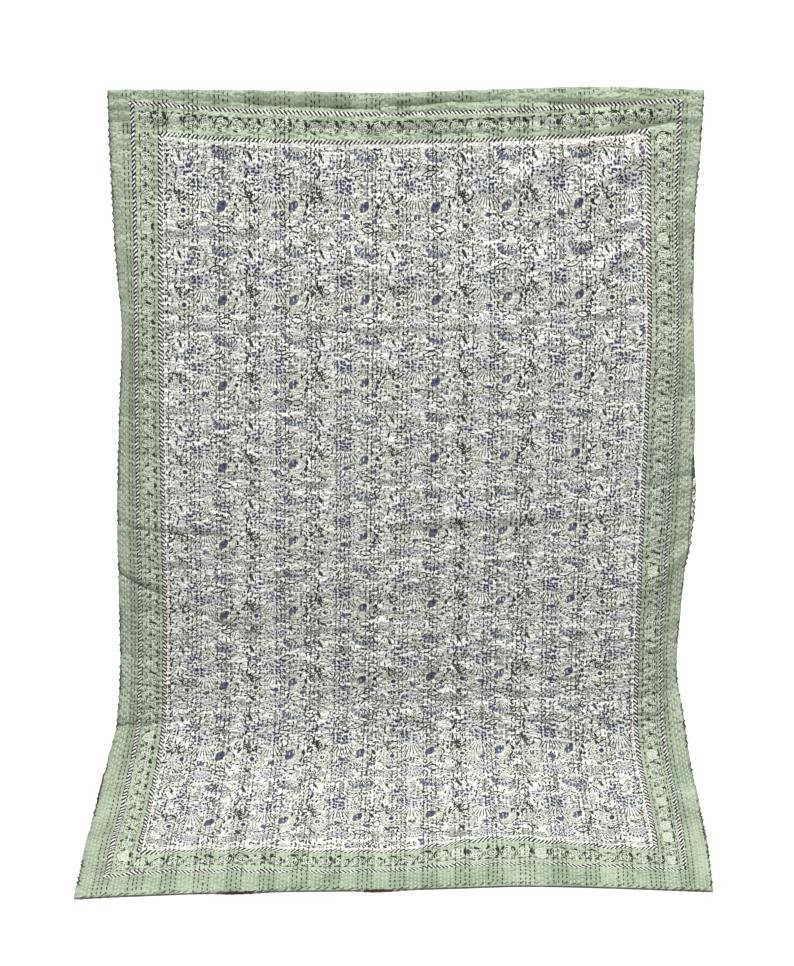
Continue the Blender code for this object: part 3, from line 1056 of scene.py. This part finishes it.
# Ovals of stippled ground. Those near x = 0 are drawn on the repeat that is wrapped further left.
STIPPLED = (
    (1.15, -0.10, 1.50, 0.34, 3),
    (3.22, 0.95, 0.26, 0.95, 0),
    (0.55, 7.80, 1.15, 0.42, -4),
    (5.85, 1.35, 0.50, 0.30, -35),
    (6.75, 7.70, 0.60, 0.50, 0),
)
WRAPPED_LEFT = 1.5
# Small leaves scattered between the motifs: (pitch of their grid, half length, half width, the
# grid's turn in degrees, and the chance above which one shows). A chance is from 0 to 1, and the
# small and the fine leaves' has a crowding from 0 to 1 added.
SMALL_LEAVES = (0.43, 0.25, 0.086, 11, 1.00)
FINE_LEAVES = (0.31, 0.15, 0.070, 37, 1.18)
PALE_LEAVES = (0.56, 0.46, 0.056, 62, 0.58)
# How far a leaf turns as its chance goes from 0 to 1, in radians: far enough to look random.
LEAF_TURNS = 37.0
# How much of the ground shows the khaki wash, the pale ink, and the haze over heads and bowls.
KHAKI_SHARE = 0.34
PALE_SHARE = 0.75
HEAD_HAZE = 0.30
BOWL_HAZE = 0.80


def scattered_leaves(g, place, leaves, crowd=None):
    """One small leaf in each cell of a turned grid, turned at random, where its chance is high."""
    pitch, half_length, half_width, turned, shown_above = leaves
    cos, sin = math.cos(math.radians(turned)) / pitch, math.sin(math.radians(turned)) / pitch
    grid = g.join(g.dot(place, (cos, sin, 0.3 * turned)), g.dot(place, (-sin, cos, 0.7)))
    cell = g.vector("FLOOR", grid)
    chance = g.chance(cell)
    across, down = g.parts(g.vector("SUBTRACT", grid, cell))
    across = g.minus(across, 0.5)
    down = g.minus(down, 0.5)
    angle = g.times(chance, LEAF_TURNS)
    cosine, sine = g.math("COSINE", angle), g.math("SINE", angle)
    along = g.times_plus(across, cosine, g.times(down, sine))
    aside = g.minus(g.times(down, cosine), g.times(across, sine))
    along = g.times(along, pitch / half_length)
    aside = g.times(aside, pitch / half_width)
    leaf = g.below(g.times_plus(along, along, g.math("ABSOLUTE", aside)), 1.0)
    if crowd is not None:
        chance = g.plus(chance, crowd)
    return leaf, g.above(chance, shown_above)


def round_flowers(g, whole, left):
    """The two round flowers: the distance from the nearer middle, 1 at the petals' ends, their fine
    lines, and the second one's dark dots."""
    petals, veins = [], []
    for place, (middle, petal_count, vein_count, veins_from) in zip((whole, left), ROUND_FLOWERS):
        far, turn = g.polar(*g.local(place, *middle))
        petals.append(g.wavy(far, turn, petal_count, PETAL_WAVE))
        veins.append(g.both(g.stripes(turn, vein_count, 0.26), g.between(far, veins_from, 0.88)))
    petals = g.least(*petals)
    ripples = g.both(g.stripes(petals, 4.5, 0.42), g.between(petals, 0.72, 1.05))
    dots = g.both(g.stripes(turn, 13.0, 0.58), g.between(far, 0.36, 0.52))
    return petals, g.either(ripples, g.either(*veins)), g.either(dots, g.below(far, 0.20))


def bowl_flower(g, high):
    """The side flower, a tilted bowl: its opening's oval, its inside, its marks, and its petals."""
    bowl, bite = g.oval(high, *OVALS["bowl"]), g.oval(high, *OVALS["bite"])
    turn = g.polar(*g.local(high, *MIDDLES["bowl"]))[1]
    inside = g.both(g.below(bowl, 1.0), g.above(bite, 1.0), g.near(turn, 0.25, 0.215))
    marks = g.both(g.either(g.stripes(turn, 21.0, 0.60), g.stripes(bowl, 3.2, 0.30)), inside)
    standing = g.both(g.stripes(turn, 25.0, 0.36), g.below(bite, 0.90))
    return bite, inside, marks, g.both(standing, g.near(turn, 0.25, 0.17))


def fan_strokes(g, whole):
    """The fan's short strokes, and its oval: 1 at the edge."""
    far, turn = g.polar(*g.local(whole, *MIDDLES["fan"]))
    fan = g.oval(whole, *OVALS["fan"])
    ring = g.times_plus(turn, 0.8, far)
    strokes = g.both(g.stripes(turn, 23.0, 0.52), g.stripes(ring, 3.0, 0.66))
    return g.both(strokes, g.below(fan, 1.0), g.above(far, 0.12)), fan


def head_spray(g, whole, head):
    """The strokes that spread below each dotted head, and the room they have: 1 at its edge."""
    far, turn = g.polar(*g.local(whole, *MIDDLES["spray"]))
    side = g.math("ABSOLUTE", g.times_plus(turn, 8.0, -2.0))
    spray = g.either(g.times(far, 0.48), side)
    ends = g.times_plus(g.math("COSINE", g.times(turn, 103.0)), 0.50, far)
    lines = g.both(g.stripes(turn, 33.0, 0.36), g.between(ends, 0.85, 1.95))
    return g.both(lines, g.below(spray, 1.0), g.above(head, 1.0)), spray


def star_flower(g, left):
    """A small ring with eight spikes."""
    far, turn = g.polar(*g.local(left, *MIDDLES["star"]))
    spikes = g.math("ABSOLUTE", g.math("COSINE", g.times(turn, 2 * math.pi * 4)))
    return g.both(g.below(g.times_plus(spikes, -0.65, far), 0.30), g.above(far, 0.16))


def flower_print(g, place, ground):
    """The panel's flowers and leaves, printed over the ground's colour."""
    place = g.vector("ADD", place, (0.0, 0.0, 1.0))
    whole = g.wrapped(place, 0.0, 0.0)
    left = g.wrapped(place, -PRINT_UNITS[0] / 2, 0.0)
    high = g.wrapped(place, 0.0, -PRINT_UNITS[1] / 2)

    # The flowers.
    petals, petal_lines, petal_dots = round_flowers(g, whole, left)
    bite, inside, bowl_marks, standing = bowl_flower(g, high)
    head, cup = g.oval(whole, *OVALS["head"]), g.oval(left, *OVALS["cup"])
    hollow = g.oval(left, *OVALS["hollow"])
    dome = g.least(head, g.either(cup, g.minus(2.0, hollow)))
    strokes, fan = fan_strokes(g, whole)
    spray_lines, spray = head_spray(g, whole, head)
    buds = g.least(g.oval(whole, *OVALS["low_bud"]), g.oval(whole, *OVALS["side_bud"]))

    # One set of cells gives the heads their scales, the eyes their uneven edge and the berries.
    lumps = g.cells(whole, 2.95, 0.60)
    scales = g.both(g.below(lumps, 0.40), g.below(dome, 1.0))
    eye = g.times_plus(lumps, 0.5, g.oval(whole, *OVALS["eye"]))
    eye_core = g.times_plus(lumps, 0.5, g.oval(whole, *OVALS["eye_core"]))
    berries = g.oval(whole, *OVALS["berries"])
    rings = g.either(g.near(lumps, 0.29, 0.10), g.below(lumps, 0.12))

    # Leaves drawn one by one.
    outlined = g.least(*[g.leaf(whole, *spot) for spot in OUTLINED_LEAVES])
    solid = g.least(*[g.leaf(whole, *spot) for spot in SOLID_LEAVES])
    green = g.least(*[g.leaf(whole, *spot) for spot in GREEN_LEAVES])
    dark = g.either(
        g.between(outlined, 0.62, 1.04),
        g.below(outlined, 0.08),
        g.below(solid, 1.0),
        spray_lines,
        star_flower(g, left),
        g.both(rings, g.below(berries, 1.0)),
    )

    # The motifs stand clear of the stippled grounds and of the small leaves that fill the rest.
    clear = g.least(g.times(petals, 1.12), g.times(bite, 6.0), head, cup, fan)
    clear = g.least(clear, outlined, green, spray, g.plus(berries, 0.05))
    open_ground = g.without(g.above(clear, 1.04), inside)
    areas = g.least(*[g.oval(left if spot[0] < WRAPPED_LEFT else whole, *spot) for spot in STIPPLED])
    areas = g.both(g.below(areas, 1.0), open_ground)
    stipple = g.both(areas, g.below(g.cells(place, 8.0, 1.0), 0.46))
    crowd = g.noise(whole, 1.1, 0.0)
    filling = g.either(
        g.both(*scattered_leaves(g, place, SMALL_LEAVES, crowd)),
        g.both(*scattered_leaves(g, place, FINE_LEAVES, crowd)),
    )
    filling = g.without(g.both(filling, open_ground), areas)
    pale, pale_shown = scattered_leaves(g, place, PALE_LEAVES)
    pale = g.both(pale, g.above(clear, 0.85), pale_shown)

    # The inks, in the order in which they lie.
    tint = g.faded(petals, 0.60, 1.15)
    colour = g.mix(g.times(tint, KHAKI_SHARE), ground, KHAKI)
    colour = g.mix(g.times(g.either(pale, petal_lines), PALE_SHARE), colour, PALE_INK)
    colour = g.mix(stipple, colour, OLIVE_INK)
    colour = g.mix(g.either(dark, filling, standing), colour, DARK_INK)
    colour = g.mix(g.below(green, 1.0), colour, GREEN_INK)
    haze = g.faded(g.least(dome, fan), 0.85, 1.08)
    colour = g.mix(g.times(haze, HEAD_HAZE), colour, HAZE)
    colour = g.mix(g.times(inside, BOWL_HAZE), colour, HAZE)
    slate = g.either(bowl_marks, g.below(g.least(eye, g.plus(buds, 0.2)), 1.2))
    colour = g.mix(slate, colour, SLATE)
    return g.mix(g.either(scales, strokes, petal_dots, g.below(eye_core, 1.0)), colour, DARK_SLATE)


# The border, as depths into the cloth from its edge, in metres. A rosette's radius is a share of
# the pitch, and the rope's strokes slant by so many strokes a metre.
ROPE_HALF_WIDTH = 0.0052
STROKES_PER_ROSETTE = 3.7
STROKE_SLANT = 82.0
ROSETTE_DEPTH = 0.100
ROSETTE_RADIUS = 0.44
ROSE_BAND_HALF = 0.024
CORNER_HALF = 0.018
# Roses are left out up to that many pitches from a corner's rose.
CORNER_CLEAR = 0.7
PANEL_DEPTH = 0.1415
PRINT_DEPTH = 0.1465
END_PRINT_DEPTH = 0.1495


def rope(g, colour, depth, middle, strokes):
    """A rope of black and white strokes along the border."""
    inside = g.near(depth, middle, ROPE_HALF_WIDTH)
    colour = g.mix(inside, colour, ROPE_WHITE)
    black = g.both(inside, g.stripes(strokes, 1.0, 0.52))
    return g.mix(black, colour, DARK_INK)


def rose_marks(g, x, y, off, along, chance):
    """One rose of the border's row, with its stem and the small dashes beside it."""
    far, turn = g.polar(x, y)
    far = g.times(g.wavy(far, turn, 5, 0.022), 1 / ROSETTE_RADIUS)
    spiral = g.times_plus(far, 2.6, g.plus(turn, chance))
    bloom = g.both(g.stripes(spiral, 1.0, 0.50), g.below(far, 1.0))
    heavy = g.both(g.stripes(spiral, 1.3, 0.46), g.stripes(turn, 5.0, 0.56), g.below(far, 1.0))
    heavy = g.both(heavy, g.above(chance, 0.16))
    shifted = g.times_plus(chance, 0.24, turn)
    right_arc = g.both(g.between(far, 0.74, 1.14), g.near(shifted, 0.0, 0.065))
    left_arc = g.both(g.between(far, 0.84, 1.12), g.near(shifted, -0.28, 0.05))
    rim = g.both(g.between(far, 0.98, 1.08), g.stripes(turn, 5.0, 0.6))
    stem = g.both(g.near(off, 0.0, 0.032), g.above(far, 1.05))
    crossbar = g.both(g.near(off, -0.10, 0.11), g.near(along, 0.43, 0.03))
    dashes = g.both(g.near(off, -0.40, 0.035), g.near(along, 0.28, 0.13))
    return bloom, g.either(heavy, right_arc, left_arc, rim, stem, crossbar, dashes)


def border_print(g, cloth, depths, counts, sage):
    """The border's colour: two ropes and a row of roses on sage. Also how deep each place is."""
    side, end = g.parts(depths)
    across, down = g.parts(cloth)
    side_count, end_count = g.parts(counts)
    depth = g.least(side, end)
    on_side = g.below(side, end)

    # Roses: places are measured from each one's middle, as shares of the pitch between them.
    middle_off = -ROSETTE_DEPTH / ROSETTE_PITCH
    side_off, end_off = [g.times_plus(d, 1 / ROSETTE_PITCH, middle_off) for d in (side, end)]
    off = g.least(side_off, end_off)
    side_along, end_along = [g.minus(g.math("FRACT", n), 0.5) for n in (side_count, end_count)]
    # The right side and the hem mirror the left side and the top.
    mirror_side = g.times_plus(g.above(across, WIDTH / 2), -2.0, 1.0)
    mirror_end = g.times_plus(g.above(down, LENGTH / 2), -2.0, 1.0)
    side_off = g.times(side_off, mirror_side)
    end_off = g.times(end_off, mirror_end)
    spot = g.choose(on_side, g.join(end_along, end_off), g.join(side_off, side_along))
    corner = g.both(g.near(side, ROSETTE_DEPTH, CORNER_HALF), g.near(end, ROSETTE_DEPTH, CORNER_HALF))
    spot = g.choose(corner, spot, g.join(side_off, end_off))
    from_end = g.join(g.times(end_along, mirror_side), end_count)
    from_side = g.join(g.times(side_along, mirror_end), side_count)
    along, count = g.parts(g.choose(on_side, from_end, from_side))
    chance = g.chance(g.join(g.math("FLOOR", count), g.times_plus(on_side, 9.0, mirror_side)))
    spot_x, spot_y = g.parts(spot)
    bloom, marks = rose_marks(g, spot_x, spot_y, off, g.math("ABSOLUTE", along), chance)
    # One rose stands in each corner, and those that would run into it are left out.
    middle = g.minus(g.either(side, end), g.times(along, ROSETTE_PITCH))
    shown = g.either(corner, g.above(middle, ROSETTE_DEPTH + CORNER_CLEAR * ROSETTE_PITCH))
    band = g.both(g.near(depth, ROSETTE_DEPTH, ROSE_BAND_HALF), shown)
    colour = g.mix(g.both(band, bloom), sage, ROSE)
    colour = g.mix(g.both(band, marks), colour, ROSE_INK)

    # The two ropes lean opposite ways.
    strokes = g.times(count, STROKES_PER_ROSETTE)
    end_lean = g.times(down, -STROKE_SLANT)
    extra = g.minus(g.times(across, STROKE_SLANT), end_lean)
    lean = g.times_plus(on_side, extra, end_lean)
    colour = rope(g, colour, depth, OUTER_ROPE, g.plus(strokes, lean))
    colour = rope(g, colour, depth, INNER_ROPE, g.minus(strokes, lean))
    return colour, depth


def face_material():
    g = Graph("printed_cotton")
    cloth, place = g.uv("cloth"), g.uv("print")
    depths, counts = g.uv("border"), g.uv("rosettes")

    # Ground and sage, each a little uneven.
    worn, mottled = g.noise(cloth, WORN, 1.0), g.noise(cloth, MOTTLED, 1.0)
    uneven = g.times_plus(worn, 1.5, g.times_plus(mottled, 0.9, -0.85))
    ground = g.mix(uneven, GROUND, GROUND_SHADE)
    across, down = g.parts(cloth)
    end = g.parts(depths)[1]
    pink_strip = g.both(
        g.between(end, PANEL_DEPTH, PINK_DEPTH), g.between(across, *PINK_ACROSS), g.below(down, 1.0)
    )
    ground = g.mix(g.times(pink_strip, PINK_SHARE), ground, PINK)
    outer = g.times(g.below(g.least(*g.parts(depths)), OUTER_ROPE), OUTER_SAGE)
    sage = g.mix(g.plus(uneven, outer), SAGE, SAGE_DEEP)

    border, depth = border_print(g, cloth, depths, counts, sage)
    panel = flower_print(g, place, ground)
    plain = g.either(g.below(depth, PRINT_DEPTH), g.below(end, END_PRINT_DEPTH))
    panel = g.mix(plain, panel, ground)
    in_panel = g.above(depth, PANEL_DEPTH)
    colour = g.mix(in_panel, border, panel)
    # Painted shade darkens the hanging middle, more in the borders than in the panel.
    painted_shade = g.faded(g.math("ABSOLUTE", g.minus(down, PAINTED_SHADE_DEEPEST_DOWN)), PAINTED_SHADE_FULL, PAINTED_SHADE_ENDS)
    share = g.times_plus(in_panel, PAINTED_SHADE_PANEL - PAINTED_SHADE_BORDER, PAINTED_SHADE_BORDER)
    colour = g.mix(g.times(painted_shade, share), colour, PAINTED_SHADE_COLOUR)
    g.cloth_shader(colour, cloth, FACE_PUCKER)
    return g.material


def back_material():
    """A plain pinkish cotton with small dark sprigs, three dark red patches at its edges, and a thin
    rim of painted shade along its sides.
    """
    g = Graph("backing_cotton")
    cloth = g.uv("cloth")
    across, down = g.parts(cloth)
    colour = g.mix(g.noise(cloth, BACK_WORN, 3.0), BACK_GROUND, BACK_SHADE)
    patches = g.both(g.below(across, RED_SIDE_ACROSS), g.between(down, *RED_SIDE_DOWN))
    for low, high in RED_HEM_ACROSS:
        patches = g.either(patches, g.both(g.between(across, low, high), g.above(down, RED_HEM_DOWN)))
    # A thin dark rim along the side edges is painted shade.
    rim = g.either(g.near(across, 0.0, BACK_EDGE_SHADE_WIDTH), g.near(across, WIDTH, BACK_EDGE_SHADE_WIDTH))
    colour = g.mix(g.times(rim, EDGE_SHADE_SHARE), colour, BACK_INK_AND_SHADE)
    colour = g.mix(patches, colour, BACK_RED)
    sprigs = g.cells(g.vector("MULTIPLY", cloth, SPRIG_LENGTHENED), SPRIGS, 0.8)
    sprigs = g.below(sprigs, SPRIG_SIZE)
    colour = g.mix(sprigs, colour, BACK_INK_AND_SHADE)
    g.cloth_shader(colour, cloth, BACK_PUCKER)
    return g.material


# ---------------------------------------------------------------- the quilt


def build_quilt():
    face = face_sheet()
    face.data.materials.append(face_material())
    back = back_sheet()
    back.data.materials.append(back_material())
    dark = plain_surface("dark_thread", DARK_THREAD, THREAD_ROUGHNESS)
    light = plain_surface("light_thread", LIGHT_THREAD, THREAD_ROUGHNESS)
    threads = []
    for name, is_dark, side, seed in THREADS:
        piece = stitch_piece(name, *running_stitches(is_dark, side, seed), side)
        piece.data.materials.append(dark if is_dark else light)
        threads.append(piece)
    whip = whip_stitches(WHIP_SEED)
    whip.data.materials.append(dark)
    threads.append(whip)
    for piece in [face, back, *threads]:
        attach(piece, "root")
    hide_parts("face_cloth")
    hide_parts("back_cloth")


# ---------------------------------------------------------------- the stage

FLOOR_SIZE = 40.0
FLOOR_COLOUR = (0.88, 0.88, 0.88)
FLOOR_ROUGHNESS = 0.9
SKY_STRENGTH = 0.30
SUN_STRENGTH = 3.6
SUN_WIDTH = 6.0
SUN_FROM = (0.0, -0.25, 0.965)
SOFTBOX_SIZE = 1.0
SOFTBOX_POWER = 5.0
SOFTBOX_AT = (0.55, -1.3, 0.95)
SOFTBOX_AIMS_AT = (0.30, 0.0, -0.15)
# The camera: millimetres for the sensor and lens, metres from the top fold, degrees downwards.
SENSOR = 36.0
LENS = 75.276
CAMERA_BACK = 5.0693
CAMERA_UP = 1.0497
CAMERA_PITCH = 22.621


def build_floor(height):
    bpy.ops.mesh.primitive_plane_add(size=FLOOR_SIZE, location=(0.0, 0.0, height))
    floor = bpy.context.object
    floor.name = "floor"
    floor.data.materials.append(plain_surface("pale_floor", FLOOR_COLOUR, FLOOR_ROUGHNESS))
    floor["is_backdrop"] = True


def add_light(name, kind, energy, away):
    """A light that shines the opposite way to away."""
    light = bpy.data.lights.new(name, kind)
    light.energy = energy
    lamp = add_object(name, light)
    lamp.rotation_euler = Vector(away).to_track_quat("Z", "Y").to_euler()
    return lamp


def build_light():
    """An even sky, a high sun that keeps the floor equally pale, and a soft light near the top."""
    world = bpy.data.worlds.new("studio")
    bpy.context.scene.world = world
    world.use_nodes = True
    sky = world.node_tree.nodes["Background"]
    sky.inputs["Color"].default_value = (1.0, 1.0, 1.0, 1.0)
    sky.inputs["Strength"].default_value = SKY_STRENGTH
    sun = add_light("key", "SUN", SUN_STRENGTH, SUN_FROM)
    sun.data.angle = math.radians(SUN_WIDTH)
    aim = Vector(SOFTBOX_AT) - Vector(SOFTBOX_AIMS_AT)
    softbox = add_light("softbox", "AREA", SOFTBOX_POWER, aim)
    softbox.data.size = SOFTBOX_SIZE
    softbox.location = SOFTBOX_AT
    softbox.visible_camera = False


def build_camera():
    """The photo's view: from in front, above the top edge, looking down at the middle."""
    camera = bpy.data.cameras.new("camera")
    camera.sensor_width = SENSOR
    camera.lens = LENS
    eye = add_object("camera", camera)
    eye.location = (0.0, -CAMERA_BACK, CAMERA_UP)
    eye.rotation_euler = (math.radians(90.0 - CAMERA_PITCH), 0.0, 0.0)
    bpy.context.scene.camera = eye
    bpy.context.scene.view_settings.view_transform = "Standard"


build_quilt()
build_floor(float(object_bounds()[0][2]))
build_light()
build_camera()
